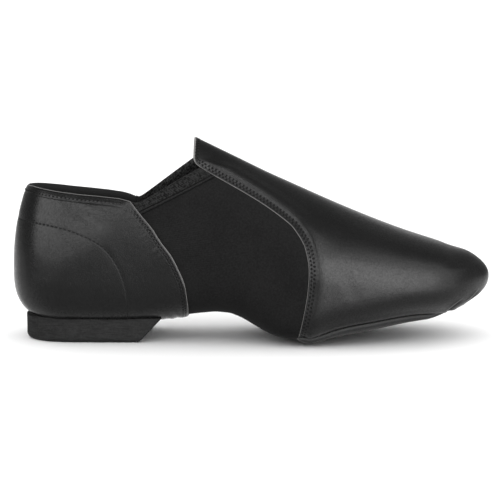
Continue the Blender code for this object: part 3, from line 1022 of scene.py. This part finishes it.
def build_upper():
    quarter = np.linspace(HEEL_AXIS, NOTCH_BACK, 22)[:-1]
    notch = np.linspace(NOTCH_BACK, NOTCH_FRONT, 18)[:-1]
    insert = np.linspace(NOTCH_FRONT, UPPER_TAB_BACK, 18)
    foot = np.linspace(UPPER_TAB_BACK, TOE_BEND, 70)[1:]
    toe = eased(TOE_BEND, TOE_TIP, 16)[1:]
    stations = np.concatenate([HEEL_STATIONS, quarter, notch, insert, foot, toe])
    half = SIDE_ROWS + COLLAR_BAND_ROWS
    rise = LINING_RISE * (1 - step_up(stations, -66.0, -60.0))
    collar = np.minimum(stations, UPPER_TAB_BACK)
    split = {side: np.abs(collar_turn(collar, side, rise)) for side in (OUTER, INNER)}
    bm = bmesh.new()
    verts, i, j = add_grid(bm, len(stations) - 1, 2 * half)
    side = np.where(j < half, OUTER, INNER)
    step = np.abs(j - half)
    at = np.where(side == OUTER, split[OUTER][i], split[INNER][i])
    above = at * step / COLLAR_BAND_ROWS
    below = at + (1 - at) * (step - COLLAR_BAND_ROWS) / SIDE_ROWS
    turn = side * np.where(step <= COLLAR_BAND_ROWS, above, below)
    along = stations[i]
    place(verts, form(along, turn))
    weave_map(bm, verts, along, turn * WEAVE_HEIGHT)
    opening = (along < UPPER_TAB_BACK - 1e-6) & (step < COLLAR_BAND_ROWS)
    gone = [vert for vert, is_open in zip(verts, opening) if is_open]
    bmesh.ops.delete(bm, geom=gone, context="VERTS")
    closed_up(bm)
    x, _, z = points_of(bm).T
    sag = -0.25 * hump(x, -20.0, 16.0) * hump(z, 45.0, 16.0)
    arch_folds = 0.10 * np.sin((x - 0.7 * z) * 2 * math.pi / 9.0)
    arch_folds = arch_folds * hump(x, -14.0, 9.0) * hump(z, 16.0, 7.0)
    push(bm, sag + arch_folds)
    piece = finished("stretch_upper", bm, STRETCH_LOOK, LINING_LOOK)
    wall(piece, UPPER_WALL, inner=1, rim=1)
    return piece


# The elastic binding: one strip a side, folded over the collar

BAND_BACK = -62.0
BAND_LENGTH_STEPS = 60
BAND_OUT_ROWS = 24
BAND_FOLD_ROWS = 8
BAND_IN_ROWS = 8
BAND_IN_DEPTH = 6.5
FOLD_SINK = 1.1


def build_binding(side, name):
    lower = resampled(profile_turn(rounded(BAND_LOWER, 8), side), np.linspace(0, 1, BAND_LENGTH_STEPS + 1))
    upper_along = np.linspace(BAND_BACK, COLLAR[side][-1][0] + 0.6, BAND_LENGTH_STEPS + 1)
    upper = together(upper_along, collar_turn(upper_along, side))
    width = np.linalg.norm(form(*lower.T) - form(*upper.T), axis=-1)
    upper = upper + (lower - upper) * (FOLD_SINK / width)[:, None]
    rows = BAND_OUT_ROWS + BAND_FOLD_ROWS + BAND_IN_ROWS
    bm = bmesh.new()
    verts, i, j = add_grid(bm, BAND_LENGTH_STEPS, rows)
    outside = np.clip(j / BAND_OUT_ROWS, 0, 1)
    fold = np.clip((j - BAND_OUT_ROWS) / BAND_FOLD_ROWS, 0, 1)
    inside = np.clip((j - BAND_OUT_ROWS - BAND_FOLD_ROWS) / BAND_IN_ROWS, 0, 1)
    params = lower[i] * (1 - outside[:, None]) + upper[i] * outside[:, None]
    width = width - FOLD_SINK
    drop = (lower - upper) / width[:, None]
    params = params + drop[i] * (BAND_IN_DEPTH * inside)[:, None]
    points = form(*params.T)
    normal = form_normal(*params.T)
    lift = form(*(params - drop[i] * 0.2).T) - form(*(params + drop[i] * 0.2).T)
    lift = lift / np.linalg.norm(lift, axis=-1, keepdims=True)
    half_wall = UPPER_WALL / 2
    radius = half_wall + BINDING_FACE
    angle = fold * math.pi
    down = outside * width[i] + fold * math.pi * radius + inside * BAND_IN_DEPTH
    seam = -0.30 * hump(down, HEM_FURROW, 0.4) - 0.35 * np.clip(1 - down / 0.5, 0, 1)
    out = -half_wall + np.cos(angle) * radius + seam
    points = points + normal * out[:, None] + lift * (np.sin(angle) * radius)[:, None]
    place(verts, points)
    weave_map(bm, verts, lengths(form(*lower.T))[i], down)
    bm.normal_update()
    probe = min(bm.faces, key=lambda f: f.calc_center_median().z)
    if probe.normal.y * side < 0:
        bmesh.ops.reverse_faces(bm, faces=bm.faces)
    piece = finished(name, bm, ELASTIC_LOOK)
    wall(piece, BINDING)
    return piece


# The insole, the forefoot sole and the heel

def bottom_turns(outline, along, side):
    """The turn on one side where the form's underside reaches the plan outline."""
    x = column(outline, 0)
    reach = column(outline, 1 if side == OUTER else 2)
    heel_depth = HEEL_AXIS - x[0]
    heel_width = np.interp(HEEL_AXIS, x, reach)

    def room(points):
        px, py = points[..., 0], points[..., 1]
        ahead = np.interp(px, x, reach) - side * py
        round_heel = 1 - np.hypot((px - HEEL_AXIS) / heel_depth, py / heel_width)
        return np.where(px < HEEL_AXIS, round_heel, ahead)

    return turn_where(along, side, room, low=1.0, high=0.5)


def build_under(name, outline, stations, face, thickness, finish, half_rows, skive=None):
    """A sheet that follows the underside of the form, inside a plan outline.

    Skive says how much thinner it is along its length, and its rim is then rolled as well.
    """
    curve = rounded(outline, 8)
    bm = bmesh.new()
    verts, i, j = add_grid(bm, len(stations) - 1, 2 * half_rows)
    reach = {side: 1 - np.abs(bottom_turns(curve, stations, side)) for side in (OUTER, INNER)}
    share = np.sin((j - half_rows) / half_rows * math.pi / 2)
    inset = np.where(share < 0, reach[OUTER][i], reach[INNER][i]) * np.abs(share)
    turn = np.where(share < 0, OUTER, INNER) * (1 - inset)
    along = stations[i]
    points = form(along, turn)
    normal = form_normal(along, turn)
    on_rim = (i == 0) | (i == i.max()) | (j == 0) | (j == j.max())
    if skive:
        gap, _ = nearest_distance(points, points[on_rim])
        points = points + normal * (face - skive(along) + rolled_edge(gap, 1.2, 2.4, 1.7))[:, None]
        points[:, 2] = np.maximum(points[:, 2], 0.0)
    else:
        points = points + normal * face
    place(verts, points)
    closed_up(bm)
    gap, _ = nearest_distance(points_of(bm), points[on_rim])
    note(bm, edge=gap)
    piece = finished(name, bm, finish)
    wall(piece, thickness)
    return piece


def build_heel():
    """The heel block: rounded outline, slanting front, and a flat top hidden in the layers over it."""
    outer = rounded([(x, -o) for x, o, _ in HEEL_OUTLINE], 8)
    inner = rounded([(x, n) for x, _, n in HEEL_OUTLINE], 8)
    sides = np.concatenate([outer[::-1], inner])
    run = lengths(sides)
    round_steps = 110
    front_steps = 24
    up_rows, edge_rows, tread_rows = 12, 7, 9
    bm = bmesh.new()
    columns = round_steps + front_steps
    rows = up_rows + edge_rows + tread_rows
    verts, i, j = add_grid(bm, columns, rows)
    up = np.clip(1 - j / up_rows, 0, 1)
    bend = np.clip((j - up_rows) / edge_rows, 0, 1) * math.pi / 2
    middle = np.clip((j - up_rows - edge_rows) / tread_rows, 0, 1)
    height = HEEL_TREAD_EDGE * (1 - np.sin(bend)) + (HEEL_HEIGHT - HEEL_TREAD_EDGE) * up
    inset = HEEL_TREAD_EDGE * (1 - np.cos(bend))
    front = HEEL_TREAD_FRONT + (HEEL_TOP_FRONT - HEEL_TREAD_FRONT) * height / HEEL_HEIGHT
    start = np.interp(-front, -outer[::-1][:, 0], lengths(outer[::-1]))
    end = run[-1] - start
    share = np.clip(i / round_steps, 0, 1)
    place_on = start + (end - start) * share
    x = np.interp(place_on, run, sides[:, 0])
    y = np.interp(place_on, run, sides[:, 1])
    crossing = np.clip((i - round_steps) / front_steps, 0, 1)
    y_start = np.interp(start, run, sides[:, 1])
    y_end = np.interp(end, run, sides[:, 1])
    y = np.where(i > round_steps, y_end + (y_start - y_end) * crossing, y)
    spine_x = np.clip(x, *HEEL_SPINE)
    away = together(x - spine_x, y)
    size = np.linalg.norm(away, axis=-1, keepdims=True)
    away = away * (1 - inset[:, None] / np.maximum(size, 1e-6)) * (1 - middle[:, None])
    place(verts, together(spine_x + away[:, 0], away[:, 1], height))
    bmesh.ops.remove_doubles(bm, verts=bm.verts, dist=MERGE)
    top = [e for e in bm.edges if e.is_boundary]
    bmesh.ops.holes_fill(bm, edges=top)
    bmesh.ops.recalc_face_normals(bm, faces=bm.faces)
    return finished("heel_block", bm, HEEL_LOOK)


def sole_skive(along):
    """The forefoot sole thins to the leather at its front and at its rear edge."""
    thickness = SOLE_FACE - LEATHER_FACE
    front = (thickness + 0.1) * step_up(along, 90.0, 106.0)
    rear = (thickness - 0.6) * (1 - step_up(along, 24.0, 31.0))
    return front + rear


# Stitching

def inset_line(line, tree, distance):
    """The row of points at a distance inside a leather edge, on the leather."""
    ahead = np.gradient(line, axis=0)
    found = []
    for point, way in zip(line, ahead):
        on, normal, _, _ = tree.find_nearest(Vector(point * MM))
        inwards = normal.cross(Vector(way)).normalized()
        best = None
        for sign in (1, -1):
            spot, turned, _, _ = tree.find_nearest(on + inwards * sign * distance * MM)
            moved = (spot - on).length
            if best is None or moved > best[0]:
                best = (moved, spot, turned)
        found.append((best[1], best[2]))
    return found


def sew(name, tree, rows):
    """Joined stitches. A row has edge points, their way along the edge, an inset and a shift in pitches."""
    bm = bmesh.new()
    for line, run, inset, shift in rows:
        places = inset_line(line, tree, inset)
        spots = np.array([p for p, _ in places]) / MM
        first = math.ceil(run[0] / STITCH_PITCH) + 0.5 + shift
        for at in np.arange(first * STITCH_PITCH, run[-1] - STITCH_PITCH, STITCH_PITCH):
            k = min(int(np.searchsorted(run, at)), len(run) - 2)
            ahead = Vector(spots[min(k + 2, len(run) - 1)] - spots[max(k - 2, 0)]).normalized()
            normal = places[k][1]
            across = normal.cross(ahead).normalized()
            normal = ahead.cross(across)
            turn = Matrix((ahead, across, normal)).transposed().to_4x4()
            size = Matrix.Diagonal(Vector((STITCH_LENGTH, STITCH_WIDTH, STITCH_HEIGHT)) * MM / 2).to_4x4()
            spot = Vector([np.interp(at, run, spots[:, c]) for c in range(3)]) * MM
            where = Matrix.Translation(spot + normal * STITCH_LIFT * MM) @ turn @ size
            bmesh.ops.create_uvsphere(bm, u_segments=8, v_segments=6, radius=1, matrix=where)
    return finished(name, bm, THREAD_LOOK)


vamp, vamp_tree, vamp_line = build_vamp()
quarter, quarter_tree, quarter_line = build_quarter()
upper = build_upper()
binding_outer = build_binding(OUTER, "elastic_outer")
binding_inner = build_binding(INNER, "elastic_inner")
insole_stations = np.concatenate([HEEL_STATIONS, eased(HEEL_AXIS, INSOLE_OUTLINE[-1][0], 110)])
insole = build_under("padded_insole", INSOLE_OUTLINE, insole_stations, INSOLE_FACE, INSOLE, INSOLE_LOOK, 22)
sole_stations = eased(SOLE_OUTLINE[0][0], SOLE_OUTLINE[-1][0], 120)
sole = build_under(
    "forefoot_tread", SOLE_OUTLINE, sole_stations, SOLE_FACE, SOLE, SOLE_LOOK, 34, sole_skive)
heel = build_heel()


def sewn_rows(line, wanted, insets):
    """Rows of stitches along the wanted points of an edge."""
    run = lengths(line)
    return [(line[wanted], run[wanted], inset, 0.5 * k) for k, inset in enumerate(insets)]


vamp_stitches = sew("vamp_stitching", vamp_tree, sewn_rows(vamp_line, vamp_line[:, 2] > 9.0, VAMP_ROWS))
_, on_front, on_collar = front_and_collar(quarter_line, lengths(quarter_line))
raised = (on_front > 0.5) & (quarter_line[:, 2] > 16.0)
quarter_stitches = sew("quarter_stitching", quarter_tree, [
    *sewn_rows(quarter_line, on_collar > 0.5, (COLLAR_ROW,)),
    *sewn_rows(quarter_line, raised & (quarter_line[:, 1] < 0), FRONT_ROWS),
    *sewn_rows(quarter_line, raised & (quarter_line[:, 1] > 0), FRONT_ROWS),
])

for piece, nodes, slot in (
    (vamp, ("vamp",), "vamp_leather"),
    (quarter, ("heel_quarter",), "quarter_leather"),
    (upper, ("upper",), "stretch"),
    (binding_outer, ("binding_outer",), "elastic"),
    (binding_inner, ("binding_inner",), "elastic"),
    (insole, ("insole",), "insole"),
    (sole, ("forefoot_sole",), "sole"),
    (heel, ("heel",), "heel"),
    (vamp_stitches, (), "vamp_leather"),
    (quarter_stitches, (), "quarter_leather"),
):
    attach(piece, "root")
    for node in nodes:
        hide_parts(node)


# Floor, light and camera: the camera in millimetres and degrees, the lights in metres and degrees.

PHOTO_WIDTH = 500.0
FOCAL_LENGTH = 1420.2
SENSOR_WIDTH = 36.0
CAMERA_TARGET = (-0.53, 0.0, 45.3)
CAMERA_DISTANCE = 750.0
CAMERA_RISE = 8.0
VAMP_SIDE = (0.06, -0.035, 0.035)
HEEL_SIDE = (-0.09, -0.025, 0.055)


def build_floor():
    bm = bmesh.new()
    bmesh.ops.create_grid(bm, x_segments=8, y_segments=8, size=6)
    floor = finished("paper_floor", bm, floor_finish(), smooth=False)
    floor.visible_glossy = False


def soft_box(name, target, turn, rise, distance, width, depth, glow):
    """A light that shows in gloss alone, seen from the target at a turn from the camera's side and a rise."""
    turn, rise = math.radians(turn), math.radians(rise)
    way = Vector((math.sin(turn) * math.cos(rise), -math.cos(turn) * math.cos(rise), math.sin(rise)))
    light = bpy.data.lights.new(name, "AREA")
    light.shape = "RECTANGLE"
    light.size = width
    light.size_y = depth
    light.energy = glow * math.pi * width * depth
    lamp = bpy.data.objects.new(name, light)
    bpy.context.scene.collection.objects.link(lamp)
    lamp.location = Vector(target) + way * distance
    lamp.visible_diffuse = False
    lamp.rotation_euler = (-way).to_track_quat("-Z", "Y").to_euler()


def light_the_set():
    """A ceiling wash for matte surfaces, soft boxes for the gloss, and a sky for the room and the paper."""
    sun = bpy.data.lights.new("ceiling wash", "SUN")
    sun.energy = 4.1
    sun.angle = math.radians(150)
    wash = bpy.data.objects.new("ceiling wash", sun)
    bpy.context.scene.collection.objects.link(wash)
    wash.location = (0, 0, 2)
    wash.visible_glossy = False
    soft_box("key soft box", VAMP_SIDE, 24.5, 16.5, distance=1.4, width=1.36, depth=1.58, glow=9.2)
    soft_box("key wash", VAMP_SIDE, 43.0, 26.0, distance=1.4, width=2.05, depth=2.3, glow=4.2)
    soft_box("heel soft box", HEEL_SIDE, -43.0, 20.0, distance=1.2, width=1.56, depth=0.84, glow=7.2)
    world = bpy.data.worlds.new("studio")
    bpy.context.scene.world = world
    sky = Finish(world, "Background")
    x, y, z = sky.split(sky.node("ShaderNodeTexCoord", output="Generated"))
    back_wall = sky.ramp(y, 0.88, 0.965, 0.25, 0.6) + sky.ramp(y, 0.955, 0.98, 0.0, 0.6)
    shade = 1.0 - 0.55 * sky.ramp(y, 0.15, 0.6) * sky.ramp(z, -0.2, -0.5)
    paper = sky.ramp(z, 0.02, -0.2) * sky.ramp(x, -0.1, 0.5, 1.0, 1.45) * shade
    sky.set(Color=grey(1.0), Strength=back_wall + paper)


def set_camera():
    """The camera at the photo's angle. Its focal length is given in pixels of the photo's width."""
    rise = math.radians(CAMERA_RISE)
    way = Vector((0, -math.cos(rise), math.sin(rise)))
    lens = bpy.data.cameras.new("camera")
    lens.sensor_width = SENSOR_WIDTH
    lens.lens = FOCAL_LENGTH / PHOTO_WIDTH * SENSOR_WIDTH
    camera = bpy.data.objects.new("camera", lens)
    bpy.context.scene.collection.objects.link(camera)
    camera.location = (Vector(CAMERA_TARGET) + way * CAMERA_DISTANCE) * MM
    camera.rotation_euler = (math.pi / 2 - rise, 0, 0)
    bpy.context.scene.camera = camera


build_floor()
light_the_set()
set_camera()
bpy.context.scene.view_settings.view_transform = "Standard"
